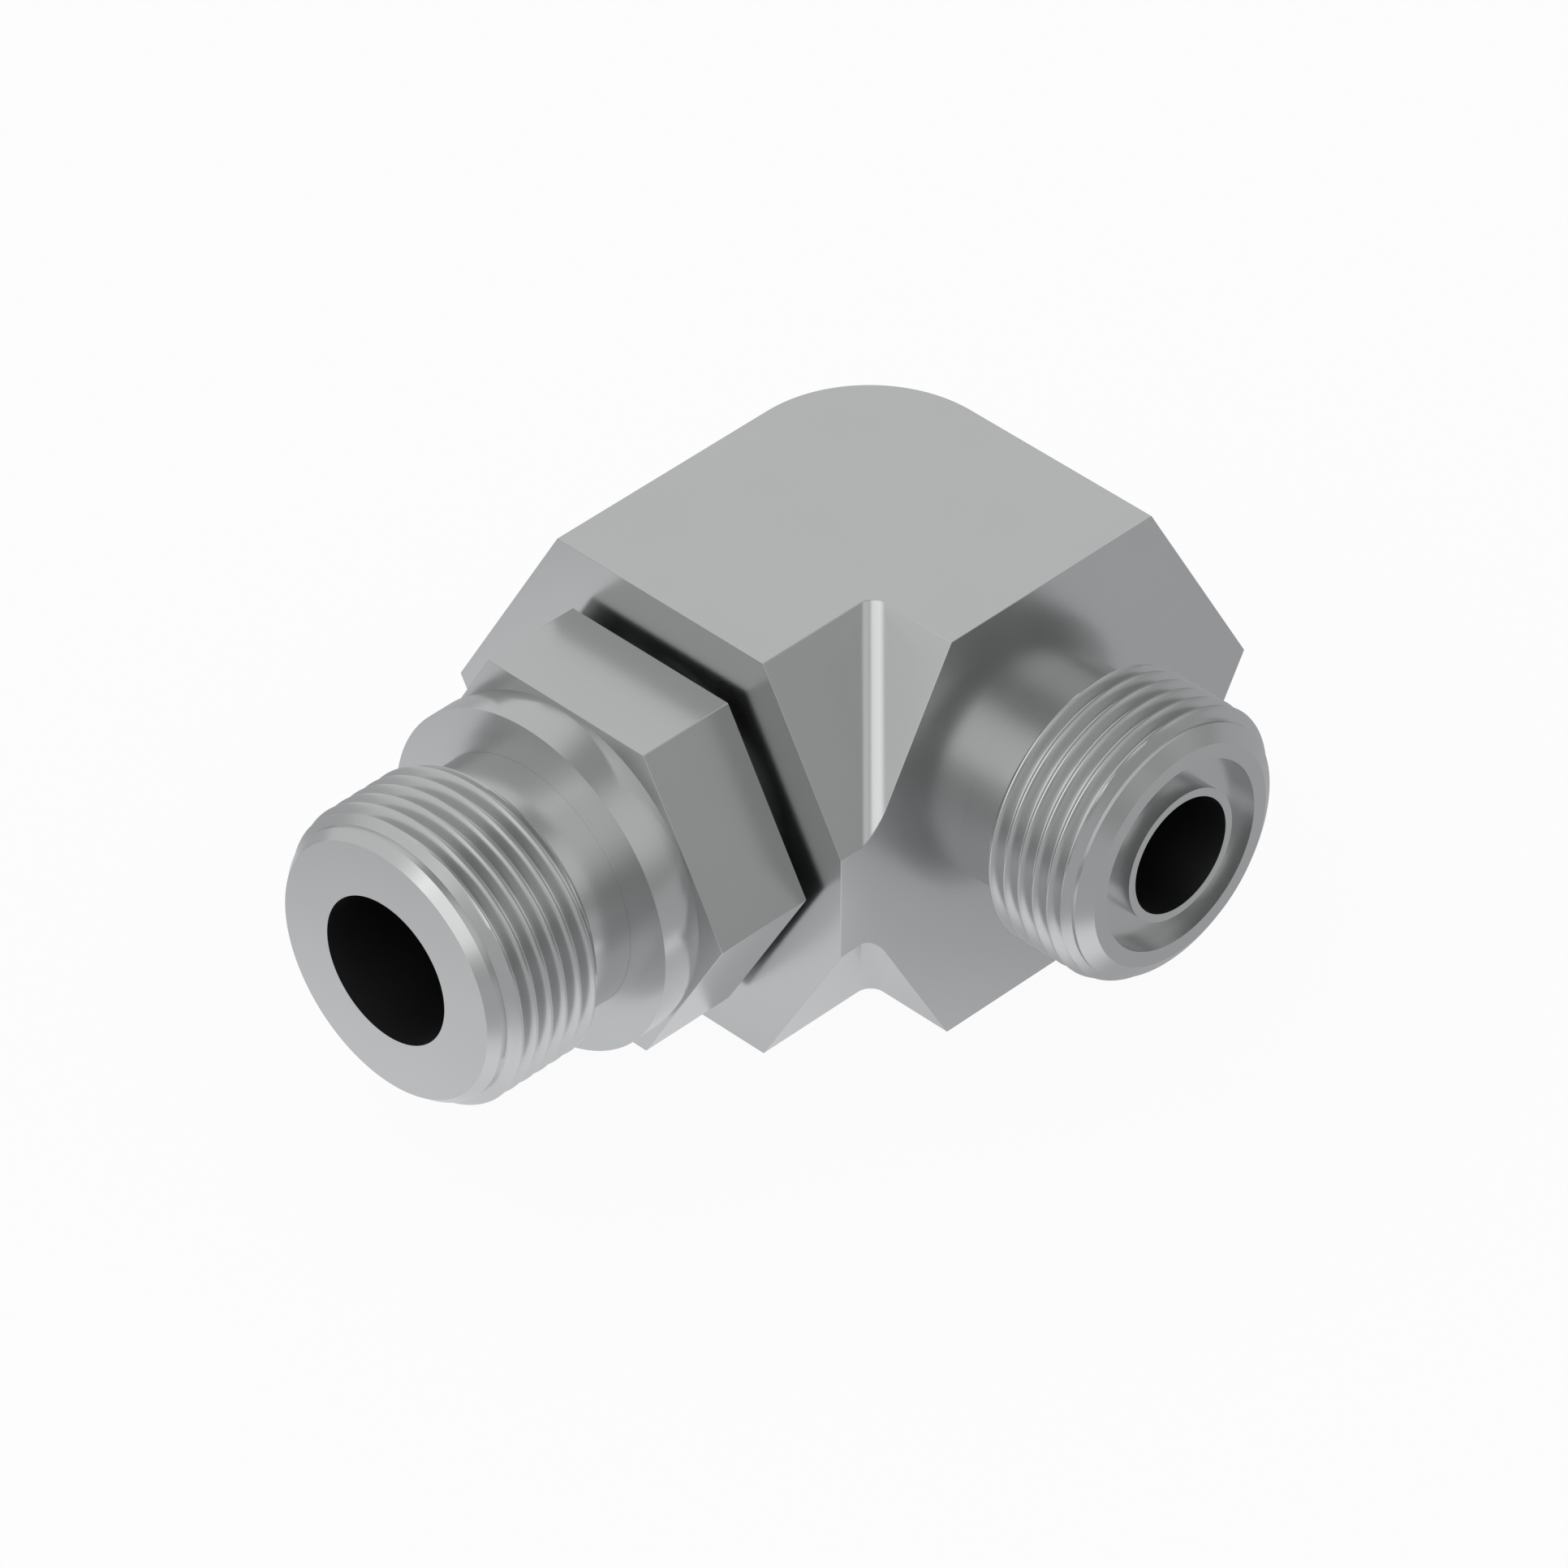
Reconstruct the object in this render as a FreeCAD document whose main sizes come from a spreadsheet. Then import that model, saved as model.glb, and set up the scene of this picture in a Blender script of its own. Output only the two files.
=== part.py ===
import FreeCAD, Part
import os

import Sketcher

# Hydraulic elbow adapter, 90 degrees: a mitred hexagonal forging with an adjustable straight-thread
# stud end along -Y and a male face-seal end along +X. Every body is drawn about the crossing of the
# two flow axes and then raised by half the forging's hexagon, so that the forging's bottom flat lies
# on Z = 0, right under the crossing. Millimetres and degrees.

SIZES = (
    ("body_af", 33.6, "forging, across the flats of the hexagon"),
    ("stud_shoulder", 20.1, "crossing to the hexagon face of the stud branch"),
    ("seal_shoulder", 17.0, "crossing to the hexagon face of the face-seal branch"),
    ("mitre_fillet", 1.4, "radius in the inner corner of the mitre"),
    ("drill_point", 118.0, "included angle of both drill points"),
    ("drill_overrun", 1.0, "full drill diameter past the crossing"),
    ("stud_reach", 45.9, "crossing to the end face of the stud"),
    ("stud_bore", 11.2, "bore of the stud"),
    ("thread_angle", 60.0, "included angle between the flanks of both threads"),
    ("thread_depth", 0.62, "depth of both threads, as a share of the pitch"),
    ("thread_crest", 0.125, "crest flat of both threads, as a share of the pitch"),
    ("thread_start", 0.1, "end face to the middle of the first thread groove, in front of it"),
    ("pilot_relief", 0.03, "radial drop from the thread root to the band in front of the thread"),
    ("stud_thread", 22.2, "outside diameter of the stud thread"),
    ("stud_pitch", 1.34, "pitch of the stud thread"),
    ("stud_neck", 19.1, "plain neck of the stud, under the washer"),
    ("stud_face", 19.3, "end face of the stud, inside its chamfer"),
    ("stud_chamfer", 0.75, "length of the end chamfer"),
    ("stud_pilot", 0.5, "length of the band behind the chamfer"),
    ("stud_flank", 0.55, "length of the first thread flank"),
    ("stud_front_thread", 8.9, "length of the full front thread"),
    ("stud_runout", 1.3, "length of the cone from neck to thread"),
    ("nut_thread_end", 8.0, "hexagon face to the front of the rear thread"),
    ("seal_reach", 29.2, "crossing to the sealing face"),
    ("seal_bore", 8.85, "bore of the face-seal end"),
    ("seal_thread", 20.8, "outside diameter of the face-seal thread"),
    ("seal_pitch", 1.32, "pitch of the face-seal thread"),
    ("seal_neck", 17.0, "undercut behind the face-seal thread"),
    ("seal_undercut", 2.9, "length of the undercut"),
    ("seal_runout", 1.2, "length of the cone from undercut to thread"),
    ("seal_full_thread", 6.65, "length of the full face-seal thread"),
    ("seal_flank", 0.45, "length of the first thread flank"),
    ("seal_face", 16.8, "sealing face, outside diameter"),
    ("seal_chamfer", 0.72, "length of the end chamfer"),
    ("groove_outer", 14.5, "seal groove, outside diameter"),
    ("groove_inner", 10.1, "seal groove, inside diameter"),
    ("groove_depth", 1.25, "depth of the seal groove"),
    ("nut_af", 25.4, "lock nut, across the flats"),
    ("nut_gap", 0.9, "hexagon face of the forging to the nut"),
    ("nut_height", 7.95, "thickness of the lock nut"),
    ("nut_clearance", 0.05, "radial play of the nut on the rear thread"),
    ("nut_mouth", 0.4, "chamfer at both mouths of the nut"),
    ("washer_outer", 25.7, "backup washer, outside diameter"),
    ("washer_height", 3.55, "thickness of the backup washer"),
    ("washer_taper", 1.5, "length of the taper on the nut's side"),
    ("washer_taper_drop", 0.4, "radial drop of that taper"),
    ("washer_clearance", 0.08, "radial play of the washer on the neck"),
)

doc = FreeCAD.newDocument("elbow_adapter")
sheet = doc.addObject("Spreadsheet::Sheet", "Sizes")
for row, (alias, value, meaning) in enumerate(SIZES, start=1):
    sheet.set(f"A{row}", meaning)
    sheet.set(f"B{row}", str(value))
    sheet.setAlias(f"B{row}", alias)
doc.recompute()


def new_body(name):
    """One physical piece, raised so that the forging's bottom flat is at Z = 0."""
    body = doc.addObject("PartDesign::Body", name)
    body.Label = name
    body.setExpression("Placement.Base.z", "Sizes.body_af / 2")
    return body


def origin_plane(body, role):
    """One of the body's own origin planes."""
    return next(item for item in body.Origin.OriginFeatures if item.Role == role)


def new_sketch(body, name, role):
    """Empty sketch on one of the body's own origin planes."""
    sketch = body.newObject("Sketcher::SketchObject", name)
    sketch.AttachmentSupport = [(origin_plane(body, role), "")]
    sketch.MapMode = "FlatFace"
    return sketch


def place_corner(sketch, line, kind, axis, place):
    """Hold one coordinate of a line's first point: on the axis, or at a signed distance from it."""
    if place == "0":
        sketch.addConstraint(Sketcher.Constraint("PointOnObject", line, 1, axis))
        return
    name = f"{kind}{line}"
    if place.startswith("-"):
        index = sketch.addConstraint(Sketcher.Constraint(kind, line, 1, -1, 1, 1.0))
    else:
        index = sketch.addConstraint(Sketcher.Constraint(kind, -1, 1, line, 1, 1.0))
    sketch.renameConstraint(index, name)
    sketch.setExpression(f"Constraints.{name}", place.lstrip("-"))


def outline(sketch, corners):
    """Closed outline through the corners, each a pair of expressions in the sheet's sizes."""
    step = 360.0 / len(corners)
    start = [
        FreeCAD.Rotation(FreeCAD.Vector(0, 0, 1), step * i).multVec(FreeCAD.Vector(10, 0, 0))
        for i in range(len(corners))
    ]
    for i, here in enumerate(start):
        sketch.addGeometry(Part.LineSegment(here, start[(i + 1) % len(start)]))
    for i in range(len(corners)):
        after = (i + 1) % len(corners)
        sketch.addConstraint(Sketcher.Constraint("Coincident", i, 2, after, 1))
    for i, (across, up) in enumerate(corners):
        place_corner(sketch, i, "DistanceX", -2, across)
        place_corner(sketch, i, "DistanceY", -1, up)


def circle(sketch, diameter):
    """Circle about the sketch's origin."""
    line = sketch.addGeometry(Part.Circle(FreeCAD.Vector(), FreeCAD.Vector(0, 0, 1), 10))
    sketch.addConstraint(Sketcher.Constraint("Coincident", line, 3, -1, 1))
    index = sketch.addConstraint(Sketcher.Constraint("Diameter", line, 10.0))
    sketch.renameConstraint(index, f"Diameter{line}")
    sketch.setExpression(f"Constraints.Diameter{line}", diameter)


def hexagon(sketch, across_flats):
    """Regular hexagon about the origin, with flats at the top and the bottom."""
    flat = f"{across_flats} / 2"
    corner = f"{across_flats} / 2 * tan(30 deg)"
    side = f"{across_flats} / 2 / cos(30 deg)"
    outline(sketch, (
        (corner, flat),
        (side, "0"),
        (corner, "-" + flat),
        ("-" + corner, "-" + flat),
        ("-" + side, "0"),
        ("-" + corner, flat),
    ))


def half_hexagon(sketch, across_flats):
    """Upper half of the same hexagon."""
    outline(sketch, (
        (f"{across_flats} / 2 / cos(30 deg)", "0"),
        (f"{across_flats} / 2 * tan(30 deg)", f"{across_flats} / 2"),
        (f"-{across_flats} / 2 * tan(30 deg)", f"{across_flats} / 2"),
        (f"-{across_flats} / 2 / cos(30 deg)", "0"),
    ))


def pad(body, name, sketch, length):
    """Extrusion along the sketch's normal."""
    feature = body.newObject("PartDesign::Pad", name)
    feature.Profile = sketch
    feature.setExpression("Length", length)
    return feature


def turned(body, name, sketch, axis, kind="PartDesign::Revolution"):
    """Full turn of the sketch about one of its axes, added or cut."""
    feature = body.newObject(kind, name)
    feature.Profile = sketch
    feature.ReferenceAxis = (sketch, [axis])
    feature.Angle = 360
    return feature


def pilot_radius(outside, pitch):
    """Radius of the plain band in front of a thread, just under the thread's root."""
    return f"{outside} / 2 - Sizes.thread_depth * {pitch} - Sizes.pilot_relief"


def thread_groove(middle, outside, pitch):
    """Section of a thread groove about its middle, as (distance along the axis, radius) pairs.

    The flanks leave the crest flat between two turns. They run on past the outside diameter until
    half of that flat is left between the turns, so the cut comes out clear of the crest.
    """
    half_angle = "tan(Sizes.thread_angle * 0.5 deg)"
    crest = f"Sizes.thread_crest * {pitch}"
    depth = f"Sizes.thread_depth * {pitch}"
    bottom = f"(({pitch} - {crest}) / 2 - {depth} * {half_angle})"
    mouth = f"({pitch} / 2 - {crest} / 4)"
    return (
        (f"{middle} - {bottom}", f"{outside} / 2 - {depth}"),
        (f"{middle} + {bottom}", f"{outside} / 2 - {depth}"),
        (f"{middle} + {mouth}", f"{outside} / 2 + {crest} / 4 / {half_angle}"),
        (f"{middle} - {mouth}", f"{outside} / 2 + {crest} / 4 / {half_angle}"),
    )


def helical_cut(body, name, sketch, axis, pitch, length, backwards=False):
    """Right-hand helical groove: the sketch's section wound about one of the sketch's axes."""
    feature = body.newObject("PartDesign::SubtractiveHelix", name)
    feature.Profile = sketch
    feature.ReferenceAxis = (sketch, [axis])
    feature.Mode = "pitch-height-angle"
    feature.Reversed = backwards
    feature.setExpression("Pitch", pitch)
    feature.setExpression("Height", length)


def on_stud(points):
    """Turn (distance along the stud, radius) pairs into sketch corners about the -Y axis."""
    return [(radius, "0" if along == "0" else "-(" + along + ")") for along, radius in points]


# Elbow body. The forging's upper half comes first, up to the plane of the two flow axes: two
# branches of half a hexagon, and the outer corner turned about the vertical line through the crossing
elbow = new_body("elbow_body")

stud_hexagon = new_sketch(elbow, "stud_hexagon", "XZ_Plane")
half_hexagon(stud_hexagon, "Sizes.body_af")
pad(elbow, "stud_branch", stud_hexagon, "Sizes.stud_shoulder")

seal_hexagon = new_sketch(elbow, "seal_hexagon", "YZ_Plane")
half_hexagon(seal_hexagon, "Sizes.body_af")
pad(elbow, "seal_branch", seal_hexagon, "Sizes.seal_shoulder")

corner_quarter = new_sketch(elbow, "corner_quarter", "XZ_Plane")
outline(corner_quarter, (
    ("0", "0"),
    ("Sizes.body_af / 2 / cos(30 deg)", "0"),
    ("Sizes.body_af / 2 * tan(30 deg)", "Sizes.body_af / 2"),
    ("0", "Sizes.body_af / 2"),
))
turned(elbow, "outer_corner", corner_quarter, "V_Axis")

# Both hexagon faces are cut flat: this takes off the side corner of each branch that stands
# past the face of the other
shoulder_waste = new_sketch(elbow, "shoulder_waste", "XY_Plane")
outline(shoulder_waste, (
    ("Sizes.seal_shoulder", "Sizes.body_af"),
    ("Sizes.seal_shoulder + Sizes.body_af", "Sizes.body_af"),
    ("Sizes.seal_shoulder + Sizes.body_af", "-(Sizes.stud_shoulder + Sizes.body_af)"),
    ("-Sizes.body_af", "-(Sizes.stud_shoulder + Sizes.body_af)"),
    ("-Sizes.body_af", "-Sizes.stud_shoulder"),
    ("Sizes.seal_shoulder", "-Sizes.stud_shoulder"),
))
shoulder_cut = elbow.newObject("PartDesign::Pocket", "shoulder_cut")
shoulder_cut.Profile = shoulder_waste
shoulder_cut.Midplane = True
shoulder_cut.setExpression("Length", "2 * Sizes.body_af")
doc.recompute()

# Forging radius in the concave edge of the mitre, then the lower half as the mirror image
mitre_edges = [
    f"Edge{i}"
    for i, edge in enumerate(shoulder_cut.Shape.Edges, start=1)
    if all(abs(v.X + v.Y) < 1e-6 and v.X > 1e-6 for v in edge.Vertexes) and len(edge.Vertexes) == 2
]
mitre = elbow.newObject("PartDesign::Fillet", "mitre_radius")
mitre.Base = (shoulder_cut, mitre_edges)
mitre.setExpression("Radius", "Sizes.mitre_fillet")

lower_half = elbow.newObject("PartDesign::Mirrored", "lower_half")
lower_half.TransformMode = "Whole shape"
lower_half.MirrorPlane = (origin_plane(elbow, "XY_Plane"), [""])
elbow.Tip = lower_half

# Stud end, turned about -Y: rear thread for the nut, plain neck, run-out, front thread, pilot band
# and chamfer. The rear thread, hidden by the nut, stays a plain cylinder of the outside diameter.
stud_profile = new_sketch(elbow, "stud_profile", "XY_Plane")
FRONT = "Sizes.stud_reach - Sizes.stud_chamfer - Sizes.stud_pilot"
THREAD_DROP = "(Sizes.stud_thread - Sizes.stud_neck) / 2"
REAR_START = "Sizes.stud_shoulder + Sizes.nut_gap"
REAR_END = "Sizes.stud_shoulder + Sizes.nut_thread_end"
NECK_END = f"{FRONT} - Sizes.stud_front_thread"
STUD_PILOT = pilot_radius("Sizes.stud_thread", "Sizes.stud_pitch")
outline(stud_profile, on_stud((
    ("0", "0"),
    ("0", "Sizes.stud_neck / 2"),
    ("Sizes.stud_shoulder", "Sizes.stud_neck / 2"),
    (REAR_START, "Sizes.stud_thread / 2"),
    (f"{REAR_END} - {THREAD_DROP} / 2", "Sizes.stud_thread / 2"),
    (REAR_END, "Sizes.stud_neck / 2"),
    (NECK_END, "Sizes.stud_neck / 2"),
    (f"{NECK_END} + Sizes.stud_runout", "Sizes.stud_thread / 2"),
    (f"{FRONT} - Sizes.stud_flank", "Sizes.stud_thread / 2"),
    (FRONT, STUD_PILOT),
    ("Sizes.stud_reach - Sizes.stud_chamfer", STUD_PILOT),
    ("Sizes.stud_reach", "Sizes.stud_face / 2"),
    ("Sizes.stud_reach", "0"),
)))
turned(elbow, "stud", stud_profile, "V_Axis")

# Front thread: the groove starts in front of the end face and runs out over the plain neck
stud_groove = new_sketch(elbow, "stud_thread_groove", "XY_Plane")
STUD_START = "Sizes.stud_reach + Sizes.thread_start"
outline(stud_groove, on_stud(thread_groove(STUD_START, "Sizes.stud_thread", "Sizes.stud_pitch")))
helical_cut(
    elbow, "stud_thread_cut", stud_groove, "V_Axis", "Sizes.stud_pitch",
    f"{STUD_START} - ({NECK_END}) + Sizes.stud_pitch / 2",
)

# Face-seal end, turned about +X: undercut, run-out, thread, pilot band and chamfer
seal_profile = new_sketch(elbow, "seal_profile", "XY_Plane")
SEAL_START = "Sizes.seal_shoulder + Sizes.seal_undercut"
SEAL_FULL = f"{SEAL_START} + Sizes.seal_runout + Sizes.seal_full_thread"
SEAL_PILOT = pilot_radius("Sizes.seal_thread", "Sizes.seal_pitch")
outline(seal_profile, (
    ("0", "0"),
    ("0", "Sizes.seal_neck / 2"),
    (SEAL_START, "Sizes.seal_neck / 2"),
    (f"{SEAL_START} + Sizes.seal_runout", "Sizes.seal_thread / 2"),
    (SEAL_FULL, "Sizes.seal_thread / 2"),
    (f"{SEAL_FULL} + Sizes.seal_flank", SEAL_PILOT),
    ("Sizes.seal_reach - Sizes.seal_chamfer", SEAL_PILOT),
    ("Sizes.seal_reach", "Sizes.seal_face / 2"),
    ("Sizes.seal_reach", "0"),
))
turned(elbow, "seal_end", seal_profile, "H_Axis")

# Its thread, cut from in front of the sealing face back over the undercut
seal_groove = new_sketch(elbow, "seal_thread_groove", "XY_Plane")
SEAL_TIP = "Sizes.seal_reach + Sizes.thread_start"
outline(seal_groove, thread_groove(SEAL_TIP, "Sizes.seal_thread", "Sizes.seal_pitch"))
helical_cut(
    elbow, "seal_thread_cut", seal_groove, "H_Axis", "Sizes.seal_pitch",
    f"{SEAL_TIP} - ({SEAL_START}) + Sizes.seal_pitch / 2", backwards=True,
)

# Flow passages, drilled from both ends until they meet
stud_drill = new_sketch(elbow, "stud_drill", "XY_Plane")
outline(stud_drill, (
    ("0", "Sizes.drill_overrun + Sizes.stud_bore / 2 / tan(Sizes.drill_point * 0.5 deg)"),
    ("Sizes.stud_bore / 2", "Sizes.drill_overrun"),
    ("Sizes.stud_bore / 2", "-Sizes.stud_reach"),
    ("0", "-Sizes.stud_reach"),
))
turned(elbow, "stud_passage", stud_drill, "V_Axis", "PartDesign::Groove")

seal_drill = new_sketch(elbow, "seal_drill", "XY_Plane")
outline(seal_drill, (
    ("-(Sizes.drill_overrun + Sizes.seal_bore / 2 / tan(Sizes.drill_point * 0.5 deg))", "0"),
    ("-Sizes.drill_overrun", "Sizes.seal_bore / 2"),
    ("Sizes.seal_reach", "Sizes.seal_bore / 2"),
    ("Sizes.seal_reach", "0"),
))
turned(elbow, "seal_passage", seal_drill, "H_Axis", "PartDesign::Groove")

# O-ring groove in the sealing face, round the bore
ring_groove = new_sketch(elbow, "ring_groove", "XY_Plane")
outline(ring_groove, (
    ("Sizes.seal_reach - Sizes.groove_depth", "Sizes.groove_inner / 2"),
    ("Sizes.seal_reach", "Sizes.groove_inner / 2"),
    ("Sizes.seal_reach", "Sizes.groove_outer / 2"),
    ("Sizes.seal_reach - Sizes.groove_depth", "Sizes.groove_outer / 2"),
))
turned(elbow, "seal_groove", ring_groove, "H_Axis", "PartDesign::Groove")

# Lock nut: its own Z runs along the stud, from the face towards the forging
nut = new_body("lock_nut")
nut.Placement.Rotation = FreeCAD.Rotation(FreeCAD.Vector(1, 0, 0), 90)
nut.setExpression("Placement.Base.y", "-(Sizes.stud_shoulder + Sizes.nut_gap)")

nut_hexagon = new_sketch(nut, "nut_hexagon", "XY_Plane")
hexagon(nut_hexagon, "Sizes.nut_af")
pad(nut, "nut_blank", nut_hexagon, "Sizes.nut_height")

nut_circle = new_sketch(nut, "nut_circle", "XY_Plane")
circle(nut_circle, "Sizes.stud_thread + 2 * Sizes.nut_clearance")
nut_bore = nut.newObject("PartDesign::Pocket", "nut_bore")
nut_bore.Profile = nut_circle
nut_bore.Reversed = True
nut_bore.setExpression("Length", "Sizes.nut_height")
doc.recompute()

nut_mouths = [
    f"Edge{i}"
    for i, edge in enumerate(nut_bore.Shape.Edges, start=1)
    if isinstance(edge.Curve, Part.Circle)
]
nut_mouth = nut.newObject("PartDesign::Chamfer", "nut_mouth_chamfer")
nut_mouth.Base = (nut_bore, nut_mouths)
nut_mouth.setExpression("Size", "Sizes.nut_mouth")

# Backup washer: a turned ring against the nut, relieved on the rim of that side
washer = new_body("backup_washer")
washer.Placement.Rotation = FreeCAD.Rotation(FreeCAD.Vector(1, 0, 0), 90)
washer.setExpression(
    "Placement.Base.y", "-(Sizes.stud_shoulder + Sizes.nut_gap + Sizes.nut_height)"
)
washer_section = new_sketch(washer, "washer_section", "XZ_Plane")
outline(washer_section, (
    ("Sizes.stud_neck / 2 + Sizes.washer_clearance", "0"),
    ("Sizes.washer_outer / 2 - Sizes.washer_taper_drop", "0"),
    ("Sizes.washer_outer / 2", "Sizes.washer_taper"),
    ("Sizes.washer_outer / 2", "Sizes.washer_height"),
    ("Sizes.stud_neck / 2 + Sizes.washer_clearance", "Sizes.washer_height"),
))
turned(washer, "washer_ring", washer_section, "V_Axis")

doc.recompute()
failed = [item.Name for item in doc.Objects if {"Invalid", "Error"} & set(item.State)]
if failed:
    raise RuntimeError(f"features that did not compute: {failed}")

os.makedirs("parts", exist_ok=True)
for body in (elbow, nut, washer):
    if body.Shape.isNull() or not body.Shape.isValid() or len(body.Shape.Solids) != 1:
        raise RuntimeError(f"{body.Label} is not one valid solid")
    body.Shape.exportStep(f"parts/{body.Label}.step")
    print(body.Label, round(body.Shape.Volume, 2), body.Shape.BoundBox)
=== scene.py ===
import math

import bmesh
import bpy
import numpy as np
from mathutils import Matrix, Vector


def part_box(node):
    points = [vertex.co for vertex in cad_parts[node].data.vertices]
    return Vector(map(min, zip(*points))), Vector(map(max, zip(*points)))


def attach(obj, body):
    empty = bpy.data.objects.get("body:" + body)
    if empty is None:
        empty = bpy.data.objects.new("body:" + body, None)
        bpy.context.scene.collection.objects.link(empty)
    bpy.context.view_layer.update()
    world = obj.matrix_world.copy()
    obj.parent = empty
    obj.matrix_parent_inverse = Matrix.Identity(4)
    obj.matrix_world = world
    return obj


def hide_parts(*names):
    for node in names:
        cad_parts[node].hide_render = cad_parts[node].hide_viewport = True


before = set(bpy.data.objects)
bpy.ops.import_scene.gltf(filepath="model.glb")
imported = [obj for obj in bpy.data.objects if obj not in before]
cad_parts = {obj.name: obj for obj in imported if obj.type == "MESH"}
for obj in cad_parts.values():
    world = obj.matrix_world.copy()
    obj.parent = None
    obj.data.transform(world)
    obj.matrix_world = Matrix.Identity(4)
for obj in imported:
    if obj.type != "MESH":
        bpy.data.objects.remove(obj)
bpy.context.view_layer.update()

# Studio: the adapter rests on its forging's bottom flat on a white table in a grey room. The camera
# looks down between the stud end and the face-seal end, with a long lens and nearly parallel lines
# of sight. A soft box stands beyond the camera, where the room is also at its brightest.
MM = 0.001
elbow_low, elbow_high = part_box("elbow_body")
HALF = (elbow_high[2] - elbow_low[2]) / 2 / MM
CROSSING = Vector((0, 0, HALF * MM))

azimuth = math.radians(44.6)
elevation = math.radians(38.634)
towards_camera = Vector((
    math.sin(azimuth) * math.cos(elevation),
    -math.cos(azimuth) * math.cos(elevation),
    math.sin(elevation),
))
camera_right = Vector((math.cos(azimuth), math.sin(azimuth), 0))
camera_up = towards_camera.cross(camera_right)
lens = bpy.data.cameras.new("photo_lens")
lens.sensor_width = 36
lens.lens = 283.94
lens.clip_end = 10
camera = bpy.data.objects.new("photo_camera", lens)
bpy.context.scene.collection.objects.link(camera)
away, leftwards, downwards = 845.5, 5.81, 8.02
spot = (CROSSING + away * MM * towards_camera - leftwards * MM * camera_right
        - downwards * MM * camera_up)
turn = Matrix((camera_right, camera_up, towards_camera)).transposed().to_4x4()
camera.matrix_world = Matrix.Translation(spot) @ turn
bpy.context.scene.camera = camera
bpy.context.scene.view_settings.view_transform = "Standard"


class Value:
    """One socket of a finish. Arithmetic on it adds the Math nodes that work it out."""

    def __init__(self, finish, socket):
        self.finish = finish
        self.socket = socket

    def math(self, operation, left, right):
        return self.finish.node("ShaderNodeMath", {"operation": operation}, {0: left, 1: right})

    def __add__(self, other):
        return self.math("ADD", self, other)

    def __radd__(self, other):
        return self.math("ADD", other, self)

    def __sub__(self, other):
        return self.math("SUBTRACT", self, other)

    def __rsub__(self, other):
        return self.math("SUBTRACT", other, self)

    def __mul__(self, other):
        return self.math("MULTIPLY", self, other)

    def __rmul__(self, other):
        return self.math("MULTIPLY", other, self)


class Finish:
    """The nodes of one material, or of the room's light."""

    def __init__(self, owner):
        owner.use_nodes = True
        self.tree = owner.node_tree
        self.tree.nodes.clear()

    def node(self, kind, settings, sockets, output=0):
        """Add a node: its settings first, then a value or a link on each named socket."""
        node = self.tree.nodes.new(kind)
        for name, setting in settings.items():
            setattr(node, name, setting)
        for name, value in sockets.items():
            if isinstance(value, Value):
                self.tree.links.new(value.socket, node.inputs[name])
            else:
                node.inputs[name].default_value = value
        return Value(self, node.outputs[output]) if node.outputs else node


def room_patch(room, direction, centre, edge_cosine, full_cosine):
    """Round soft patch of the room, from nothing at one angle off its centre to 1 at a smaller one."""
    cosine = room.node("ShaderNodeVectorMath", {"operation": "DOT_PRODUCT"},
                       {0: direction, 1: Vector(centre).normalized()}, "Value")
    return room.node("ShaderNodeMapRange", {"interpolation_type": "SMOOTHSTEP"},
                     {0: cosine, 1: edge_cosine, 2: full_cosine, 3: 0.0, 4: 1.0})


# The grey room, and the four places where it is brighter
WHITE = (1, 1, 1, 1)
world = bpy.data.worlds.new("studio_room")
bpy.context.scene.world = world
room = Finish(world)
looking = room.node("ShaderNodeTexCoord", {}, {}, "Generated")
beyond_camera = room_patch(room, looking, (0.33, -0.72, 0.6), 0.66, 0.985)
left_wall = room_patch(room, looking, (-0.9, -0.2, 0.35), 0.25, 0.45)
right_wall = room_patch(room, looking, (0.56, 0.63, 0.54), 0.87, 0.99)
over_seal_end = room_patch(room, looking, (0.85, 0.06, 0.52), 0.93, 0.985)
wall_light = (0.383 + 0.51 * beyond_camera + 0.41 * left_wall + 0.356 * right_wall
              + 0.42 * over_seal_end)
paths = room.node("ShaderNodeLightPath", {}, {}, "Is Camera Ray")
wall = room.node("ShaderNodeBackground", {}, {"Color": (0.985, 1, 0.99, 1), "Strength": wall_light})
paper = room.node("ShaderNodeBackground", {}, {"Color": WHITE, "Strength": 1})
seen = room.node("ShaderNodeMixShader", {}, {0: paths, 1: wall, 2: paper})
room.node("ShaderNodeOutputWorld", {}, {"Surface": seen})


def painted_table_light(paint, place, centre, full, none, strength):
    """Round soft patch of light painted on the table, of full strength within one distance in mm and gone
    at another.
    """
    from_centre = paint.node("ShaderNodeVectorMath", {"operation": "DISTANCE"},
                             {0: place, 1: (centre[0] * MM, centre[1] * MM, 0)}, "Value")
    return paint.node("ShaderNodeMapRange", {"interpolation_type": "SMOOTHSTEP"},
                      {0: from_centre, 1: full * MM, 2: none * MM, 3: strength, 4: 0.0})
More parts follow.
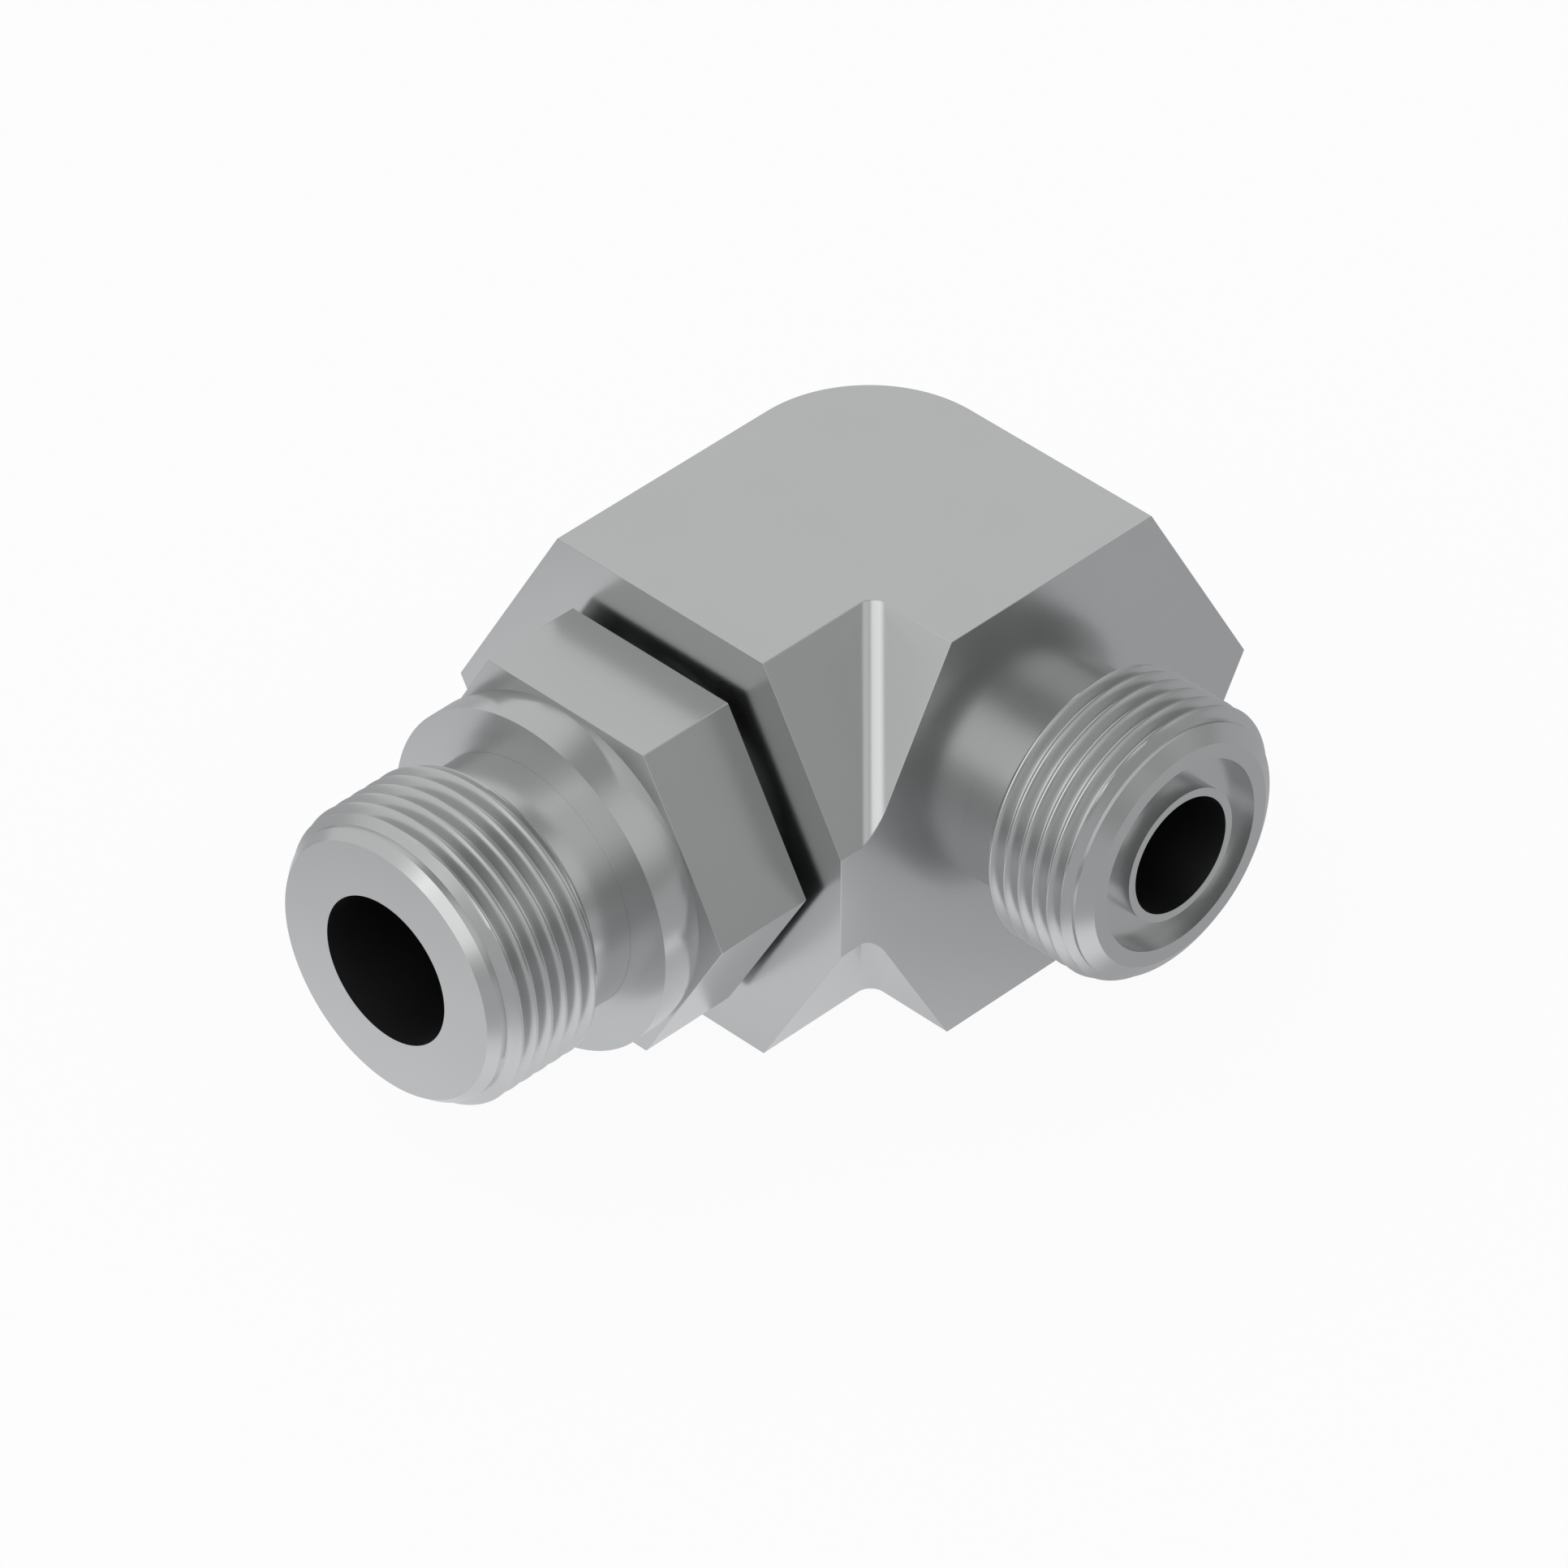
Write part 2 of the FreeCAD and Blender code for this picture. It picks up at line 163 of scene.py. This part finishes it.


# Table: white with a faint shadow to the camera, grey with three painted spots of light in reflections
side = 3.0
table_mesh = bpy.data.meshes.new("white_table")
table_mesh.from_pydata(
    [(-side, -side, 0), (side, -side, 0), (side, side, 0), (-side, side, 0)], [], [(0, 1, 2, 3)]
)
table = bpy.data.objects.new("white_table", table_mesh)
bpy.context.scene.collection.objects.link(table)
table_white = bpy.data.materials.new("table_white")
paint = Finish(table_white)
matt = paint.node("ShaderNodeBsdfDiffuse", {}, {"Color": (0.9, 0.9, 0.9, 1)})
to_camera = paint.node("ShaderNodeLightPath", {}, {}, "Is Camera Ray")
to_gloss = paint.node("ShaderNodeLightPath", {}, {}, "Is Glossy Ray")
to_glass = paint.node("ShaderNodeLightPath", {}, {}, "Is Transmission Ray")
on_table = paint.node("ShaderNodeTexCoord", {}, {}, "Object")
# Light painted on the table that only reflections see: a broad pool near the stud end and a small spot by
# each end
painted_light_pool = painted_table_light(paint, on_table, (-7, -36), 10, 60, 0.427)
painted_stud_spot = painted_table_light(paint, on_table, (18, -54), 3, 16, 0.25)
painted_seal_spot = painted_table_light(paint, on_table, (38, -10.5), 3, 10, 0.56)
mirrored = paint.node("ShaderNodeVectorMath", {"operation": "SCALE"},
                      {0: (0.985, 0.995, 1.03), "Scale": 0.516 + painted_light_pool + painted_stud_spot + painted_seal_spot})
table_light = paint.node("ShaderNodeMix", {"data_type": "RGBA"}, {0: to_camera, 6: mirrored, 7: WHITE}, 2)
lit = paint.node("ShaderNodeEmission", {}, {"Color": table_light, "Strength": 1})
lit_share = 0.94 * to_camera + 0.85 * to_gloss + 0.85 * to_glass
whitened = paint.node("ShaderNodeMixShader", {}, {0: lit_share, 1: matt, 2: lit})
paint.node("ShaderNodeOutputMaterial", {}, {"Surface": whitened})
table_mesh.materials.append(table_white)

soft_box = bpy.data.lights.new("soft_box", "AREA")
soft_box.shape = "SQUARE"
soft_box.size = 1.0
soft_box.energy = 1.07
box_light = bpy.data.objects.new("soft_box", soft_box)
bpy.context.scene.collection.objects.link(box_light)
box_place = CROSSING + Vector((0.4, -0.78, 0.75))
aim = (box_place - CROSSING).to_track_quat("Z", "Y").to_matrix().to_4x4()
box_light.matrix_world = Matrix.Translation(box_place) @ aim

# Elbow body: one steel forging, faced off at both ends of its bent hexagon, turned, threaded and
# drilled from both ends, then plated a satin grey. The hexagon runs straight down both branches,
# turns about a vertical line on the outside of the bend and meets in a mitre inside.
STUD_SHOULDER = 20.1
SEAL_SHOULDER = 17.0
MITRE_REACH = 1.21
ARC_STEPS = 32
EDGE = 0.05


def mesh_piece(name, points, faces):
    """New object from points in millimetres and faces of point numbers, doubles merged."""
    same = 0.0005 * MM
    mesh = bpy.data.meshes.new(name)
    mesh.from_pydata(points * MM, [], faces)
    shell = bmesh.new()
    shell.from_mesh(mesh)
    bmesh.ops.remove_doubles(shell, verts=shell.verts, dist=same)
    bmesh.ops.dissolve_degenerate(shell, edges=shell.edges, dist=same)
    bmesh.ops.recalc_face_normals(shell, faces=shell.faces)
    shell.to_mesh(mesh)
    shell.free()
    piece = bpy.data.objects.new(name, mesh)
    bpy.context.scene.collection.objects.link(piece)
    return piece


def grid_faces(rows, columns):
    """Four-sided faces between neighbouring rows and columns of a grid of points."""
    first = (np.arange(rows - 1)[:, None] * columns + np.arange(columns - 1)).ravel()
    return np.stack([first, first + 1, first + columns + 1, first + columns], 1)


def ease_edges(piece, width):
    """Merge faces that lie in one plane, then round every edge of more than 25 degrees."""
    flat_angle, edge_angle = math.radians(0.2), math.radians(25)
    shell = bmesh.new()
    shell.from_mesh(piece.data)
    bmesh.ops.dissolve_limit(shell, angle_limit=flat_angle, verts=shell.verts, edges=shell.edges)
    sharp = [edge for edge in shell.edges if edge.calc_face_angle(0) > edge_angle]
    bmesh.ops.bevel(shell, geom=sharp, offset=width * MM, segments=2, profile=0.5,
                    affect="EDGES", clamp_overlap=True)
    shell.to_mesh(piece.data)
    shell.free()


def bent_hexagon():
    """Corners of the section by stations along the bend, as (stud way, seal way, height).

    Inside the bend a corner at distance s from the branch's axis runs at s along the stud branch,
    round a quarter circle that touches both branches, and at s along the seal branch. What passes
    the seal branch's face slides back down the mitre line to it. Outside the bend a corner turns
    about the vertical line through the crossing.
    """
    flat = HALF / math.sqrt(3)
    cut = (2 * flat - SEAL_SHOULDER) * math.sqrt(3)
    arc = np.linspace(0, math.pi / 2, ARC_STEPS + 1)
    inner = []
    for s, height in ((flat, HALF), (SEAL_SHOULDER, cut), (SEAL_SHOULDER, -cut), (flat, -HALF)):
        stud_way = np.concatenate([[STUD_SHOULDER], s + MITRE_REACH * (1 - np.sin(arc)), [s]])
        seal_way = np.concatenate([[s], s + MITRE_REACH * (1 - np.cos(arc)), [SEAL_SHOULDER]])
        past = np.maximum(seal_way - SEAL_SHOULDER, 0)
        past[-1] = past[-2]
        stud_way = stud_way - past
        seal_way = np.minimum(seal_way, SEAL_SHOULDER)
        inner.append(np.stack([stud_way, seal_way, height + np.sign(height) * past * math.sqrt(3)], 1))
    outer = []
    for s, height in ((flat, -HALF), (2 * flat, 0), (flat, HALF)):
        stud_way = np.concatenate([[STUD_SHOULDER], -s * np.sin(arc), [-s]])
        seal_way = np.concatenate([[-s], -s * np.cos(arc), [SEAL_SHOULDER]])
        outer.append(np.stack([stud_way, seal_way, np.full(len(arc) + 2, height)], 1))
    return np.array(inner + outer)


section = bent_hexagon()
corners, stations = section.shape[:2]
ring = np.concatenate([section, section[:1]])
hexagon_points = np.stack([ring[..., 1], -ring[..., 0], ring[..., 2] + HALF], -1).reshape(-1, 3)
ends = [list(range(0, corners * stations, stations))]
ends.append([i + stations - 1 for i in ends[0]])
forging = mesh_piece("forged_elbow", hexagon_points,
                     grid_faces(corners + 1, stations).tolist() + ends)
ease_edges(forging, EDGE)

# Turned work: outlines turned in COLUMNS steps, threads in PER_PITCH rows to a pitch
COLUMNS = 144
PER_PITCH = 16


def straight_rows(profile):
    """Rings of a turned outline: (distance along the axis, radius) for each row and column."""
    points = np.array(profile, float)
    return np.repeat(points[:, None, :], COLUMNS + 1, axis=1)


def ridge_height(phase):
    """Thread ridge over one pitch, 0 at the root and 1 at the crest, phase 0 at the crest.

    A trapezoid with a crest an eighth and a root a seventh of the pitch wide, averaged over a
    tenth of the pitch, which rounds its corners.
    """
    crest_end, root_start = 0.0625, 0.43
    spread = np.linspace(-0.05, 0.05, 11)
    away = np.abs((phase[..., None] + spread + 0.5) % 1 - 0.5)
    return np.clip((root_start - away) / (root_start - crest_end), 0, 1).mean(-1)


def thread_rows(start, end, crest_at, pitch, root, crest, outline):
    """Rows that follow a right-hand helix from start to end, by (distance, radius).

    A row climbs one pitch in a turn, so its last point is also the first point of the row one pitch
    on. Rows stop at start and end, and no point stands outside the turned outline.
    """
    first = math.floor((start - crest_at) / pitch * PER_PITCH) - PER_PITCH
    last = math.ceil((end - crest_at) / pitch * PER_PITCH)
    steps = np.arange(first, last + 1)[:, None] / PER_PITCH
    turns = np.linspace(0, 1, COLUMNS + 1)[None, :]
    along = np.clip(crest_at + pitch * (steps + turns), start, end)
    ridge = root + (crest - root) * ridge_height(steps + 0 * turns)
    limit = np.interp(along, [p[0] for p in outline], [p[1] for p in outline])
    return np.stack([along, np.minimum(ridge, limit)], -1)


def turned_piece(name, rows, side_way, far_way, first_angle=0.0):
    """Turn rows about an axis through the crossing; side_way is at angle 0 and far_way is outwards."""
    angle = first_angle + np.linspace(0, 2 * math.pi, COLUMNS + 1)
    along = rows[..., :1]
    radius = rows[..., 1:]
    points = (
        along * np.array(far_way)
        + radius * np.cos(angle)[None, :, None] * np.array(side_way)
        + radius * np.sin(angle)[None, :, None] * np.array((0, 0, 1))
        + np.array((0, 0, HALF))
    )
    return mesh_piece(name, points.reshape(-1, 3), grid_faces(*rows.shape[:2]).tolist())


def settle(piece):
    """Keep what the modifiers give as the piece's own mesh."""
    graph = bpy.context.evaluated_depsgraph_get()
    shape = bpy.data.meshes.new_from_object(piece.evaluated_get(graph), depsgraph=graph)
    piece.modifiers.clear()
    piece.data = shape


def cut_or_weld(piece, tool, operation):
    """Weld the tool to the piece, or cut it out, and clear the tool away. A cut keeps its finish."""
    step = piece.modifiers.new(operation, "BOOLEAN")
    step.operation = operation
    step.solver = "EXACT"
    step.material_mode = "TRANSFER"
    step.object = tool
    bpy.context.view_layer.update()
    settle(piece)
    bpy.data.objects.remove(tool)


# Stud end: rear thread under the lock nut, plain neck, front thread, band and chamfer
STUD_SIDE, STUD_WAY = (1, 0, 0), (0, -1, 0)
STUD_REACH = -elbow_low[1] / MM
PITCH = 1.34
DEPTH_OF_PITCH = 0.62
BELOW_ROOT = 0.03
NECK = 9.55
CREST = 11.1
ROOT = CREST - DEPTH_OF_PITCH * PITCH
BAND = ROOT - BELOW_ROOT
STUD_FACE = 9.65
LENGTH_INSIDE = 8
CREST_AT = STUD_REACH + 0.1 - 1.5 * PITCH
REAR_FULL, REAR_RUNOUT, REAR_END = 21.0, 27.3, 28.1
FRONT_START, FRONT_FULL, FRONT_RUNOUT, FRONT_END, BAND_END = 35.75, 37.05, 44.1, 44.65, 45.15
rear_outline = [(STUD_SHOULDER, NECK), (REAR_FULL, CREST), (REAR_RUNOUT, CREST), (REAR_END, NECK)]
front_outline = [(FRONT_START, NECK), (FRONT_FULL, CREST), (FRONT_RUNOUT, CREST), (FRONT_END, BAND)]
stud_rows = np.concatenate([
    straight_rows([(STUD_SHOULDER - LENGTH_INSIDE, 0), (STUD_SHOULDER - LENGTH_INSIDE, NECK)]),
    thread_rows(STUD_SHOULDER, REAR_END, CREST_AT, PITCH, ROOT, CREST, rear_outline),
    thread_rows(FRONT_START, FRONT_END, CREST_AT, PITCH, ROOT, CREST, front_outline),
    straight_rows([(FRONT_END, BAND), (BAND_END, BAND), (STUD_REACH, STUD_FACE), (STUD_REACH, 0)]),
])
stud = turned_piece("stud_end", stud_rows, STUD_SIDE, STUD_WAY)

# Face-seal end: undercut, thread, band, chamfer and the groove round the bore
SEAL_SIDE, SEAL_WAY = (0, 1, 0), (1, 0, 0)
SEAL_REACH = elbow_high[0] / MM
SEAL_PITCH = 1.32
SEAL_NECK = 8.5
SEAL_CREST = 10.4
SEAL_ROOT = SEAL_CREST - DEPTH_OF_PITCH * SEAL_PITCH
SEAL_BAND = SEAL_ROOT - BELOW_ROOT
SEAL_FACE = 8.4
SEAL_CHAMFER = 0.72
SEAL_CREST_AT = SEAL_REACH + 0.1 - 1.5 * SEAL_PITCH
SEAL_START, SEAL_FULL, SEAL_RUNOUT, SEAL_END = 19.9, 21.1, 27.75, 28.2
GROOVE_INNER, GROOVE_OUTER, GROOVE_DEPTH = 5.05, 7.25, 1.25
GROOVE_FLOOR = SEAL_REACH - GROOVE_DEPTH
seal_outline = [
    (SEAL_START, SEAL_NECK), (SEAL_FULL, SEAL_CREST), (SEAL_RUNOUT, SEAL_CREST), (SEAL_END, SEAL_BAND),
]
seal_rows = np.concatenate([
    straight_rows([(SEAL_SHOULDER - LENGTH_INSIDE, 0), (SEAL_SHOULDER - LENGTH_INSIDE, SEAL_NECK)]),
    thread_rows(SEAL_START, SEAL_END, SEAL_CREST_AT, SEAL_PITCH, SEAL_ROOT, SEAL_CREST, seal_outline),
    straight_rows([
        (SEAL_END, SEAL_BAND), (SEAL_REACH - SEAL_CHAMFER, SEAL_BAND), (SEAL_REACH, SEAL_FACE),
        (SEAL_REACH, GROOVE_OUTER), (GROOVE_FLOOR, GROOVE_OUTER), (GROOVE_FLOOR, GROOVE_INNER),
        (SEAL_REACH, GROOVE_INNER), (SEAL_REACH, 0),
    ]),
])
seal_end = turned_piece("seal_end", seal_rows, SEAL_SIDE, SEAL_WAY)

# Flow passages: drilled from both ends, with 118 degree points just past the crossing
STUD_BORE = 5.6
SEAL_BORE = 4.425
POINT = math.tan(math.radians(59))
DRILL_PAST = 1
DRILL_ROWS = 10


def drill(name, radius, reach, side_way, far_way):
    """Drill from past an end face to just past the crossing, its columns between the end face's."""
    out = reach + DRILL_PAST
    wall = [(station, radius) for station in np.linspace(-DRILL_PAST, out, DRILL_ROWS)]
    return turned_piece(name, straight_rows([(-DRILL_PAST - radius / POINT, 0), *wall, (out, 0)]),
                        side_way, far_way, math.pi / COLUMNS)


stud_drill = drill("stud_drill", STUD_BORE, STUD_REACH, STUD_SIDE, STUD_WAY)
seal_drill = drill("seal_drill", SEAL_BORE, SEAL_REACH, SEAL_SIDE, SEAL_WAY)


def shade_by_faces(piece):
    """Smooth shading across edges of up to 32 degrees, large faces keeping their own direction."""
    piece.data.shade_smooth()
    piece.data.set_sharp_from_angle(angle=math.radians(32))
    even = piece.modifiers.new("even", "WEIGHTED_NORMAL")
    even.keep_sharp = True
    even.weight = 100
    bpy.context.view_layer.update()
    settle(piece)


def plated_steel(name, grey, roughness):
    """Satin plating on steel: an even grey metal with faint clouding and a very fine grain."""
    material = bpy.data.materials.new(name)
    plate = Finish(material)
    place = plate.node("ShaderNodeTexCoord", {}, {}, "Object")
    clouds = plate.node("ShaderNodeTexNoise", {}, {"Vector": place, "Scale": 90.0, "Detail": 3.0})
    grain = plate.node("ShaderNodeTexNoise", {}, {"Vector": place, "Scale": 900.0, "Detail": 2.0})
    darker, lighter = [tuple(share * g for g in grey) + (1,) for share in (0.97, 1.03)]
    colour = plate.node("ShaderNodeMix", {"data_type": "RGBA"}, {0: clouds, 6: darker, 7: lighter}, 2)
    relief = plate.node("ShaderNodeBump", {}, {"Strength": 0.02, "Distance": 0.01 * MM, "Height": grain})
    surface = plate.node("ShaderNodeBsdfPrincipled", {}, {
        "Base Color": colour, "Metallic": 1.0, "Normal": relief,
        "Roughness": roughness + 0.06 * (clouds - 0.5) + 0.02 * (grain - 0.5),
    })
    plate.node("ShaderNodeOutputMaterial", {}, {"Surface": surface})
    return material


# The forging's parts get their finish before they are joined, so the passages keep a dark grey that
# paints the shade inside them
SATIN = 0.245
forging_plate = plated_steel("plated_forging", (0.56, 0.568, 0.5645), SATIN)
# Painted shade: a dark grey steel in the passages, darker than the plating, standing in for the shade
# deep in the bores
painted_shade_bore = plated_steel("painted_shade_bore", (0.17, 0.175, 0.172), 0.4)
for part, finish in (
    (forging, forging_plate), (stud, forging_plate), (seal_end, forging_plate),
    (stud_drill, painted_shade_bore), (seal_drill, painted_shade_bore),
):
    part.data.materials.append(finish)
cut_or_weld(forging, stud, "UNION")
cut_or_weld(forging, seal_end, "UNION")
cut_or_weld(forging, stud_drill, "DIFFERENCE")
cut_or_weld(forging, seal_drill, "DIFFERENCE")
shade_by_faces(forging)
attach(forging, "elbow")
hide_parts("elbow_body")

# Lock nut: a hexagon of bar steel, tapped with the stud's thread, its flats in line with the
# forging's. It is screwed on the rear thread and stands clear of the forging by a narrow gap.
nut_low, nut_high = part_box("lock_nut")
NUT_BACK = -nut_high[1] / MM
NUT_FRONT = -nut_low[1] / MM
NUT_HALF = (nut_high[2] - nut_low[2]) / 2 / MM
nut_flat = NUT_HALF / math.sqrt(3)
nut_corners = np.array([
    (nut_flat, NUT_HALF), (2 * nut_flat, 0), (nut_flat, -NUT_HALF),
    (-nut_flat, -NUT_HALF), (-2 * nut_flat, 0), (-nut_flat, NUT_HALF),
])
nut_points = np.array([(x, -y, z + HALF) for y in (NUT_BACK, NUT_FRONT) for x, z in nut_corners])
nut_sides = [(i, (i + 1) % 6, (i + 1) % 6 + 6, i + 6) for i in range(6)]
nut = mesh_piece("hexagon_nut", nut_points, nut_sides + [tuple(range(6)), tuple(range(6, 12))])
ease_edges(nut, EDGE)

# The nut's thread has the play below all round and a countersunk mouth on both faces
NUT_PLAY = 0.05
NUT_MOUTH = CREST + 0.4
MOUTH_DEPTH = 1.2
MOUTH_BOTTOM = ROOT - 0.2
TAP_OUT = 1
tap_rows = thread_rows(NUT_BACK - TAP_OUT, NUT_FRONT + TAP_OUT, CREST_AT, PITCH, ROOT, CREST,
                       [(NUT_BACK, CREST), (NUT_FRONT, CREST)])
mouth = np.interp(tap_rows[..., 0],
                  [NUT_BACK, NUT_BACK + MOUTH_DEPTH, NUT_FRONT - MOUTH_DEPTH, NUT_FRONT],
                  [NUT_MOUTH, MOUTH_BOTTOM, MOUTH_BOTTOM, NUT_MOUTH])
tap_rows[..., 1] = np.maximum(tap_rows[..., 1], mouth) + NUT_PLAY
tap_rows = np.concatenate([
    straight_rows([(NUT_BACK - TAP_OUT, 0)]), tap_rows, straight_rows([(NUT_FRONT + TAP_OUT, 0)]),
])
cut_or_weld(nut, turned_piece("tap", tap_rows, STUD_SIDE, STUD_WAY), "DIFFERENCE")
shade_by_faces(nut)
SMALL_PARTS_GREY = (0.55, 0.558, 0.5545)
nut.data.materials.clear()
nut.data.materials.append(plated_steel("plated_nut", SMALL_PARTS_GREY, SATIN))
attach(nut, "nut")
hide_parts("lock_nut")

# Backup washer: a turned steel ring that slides on the plain neck in front of the nut, with a
# slight taper on the nut's side. It is plated like the nut.
washer_low, washer_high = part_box("backup_washer")
WASHER_BACK = -washer_high[1] / MM
WASHER_FRONT = -washer_low[1] / MM
WASHER_OUTER = (washer_high[2] - washer_low[2]) / 2 / MM
WASHER_HOLE = 9.556
TAPER, TAPER_LENGTH = 0.4, 1.5
washer_section = [
    (WASHER_BACK, WASHER_HOLE), (WASHER_BACK, WASHER_OUTER - TAPER),
    (WASHER_BACK + TAPER_LENGTH, WASHER_OUTER), (WASHER_FRONT, WASHER_OUTER),
    (WASHER_FRONT, WASHER_HOLE), (WASHER_BACK, WASHER_HOLE),
]
washer = turned_piece("turned_washer", straight_rows(washer_section), STUD_SIDE, STUD_WAY)
shade_by_faces(washer)
washer.data.materials.append(plated_steel("plated_washer", SMALL_PARTS_GREY, SATIN))
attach(washer, "washer")
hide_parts("backup_washer")
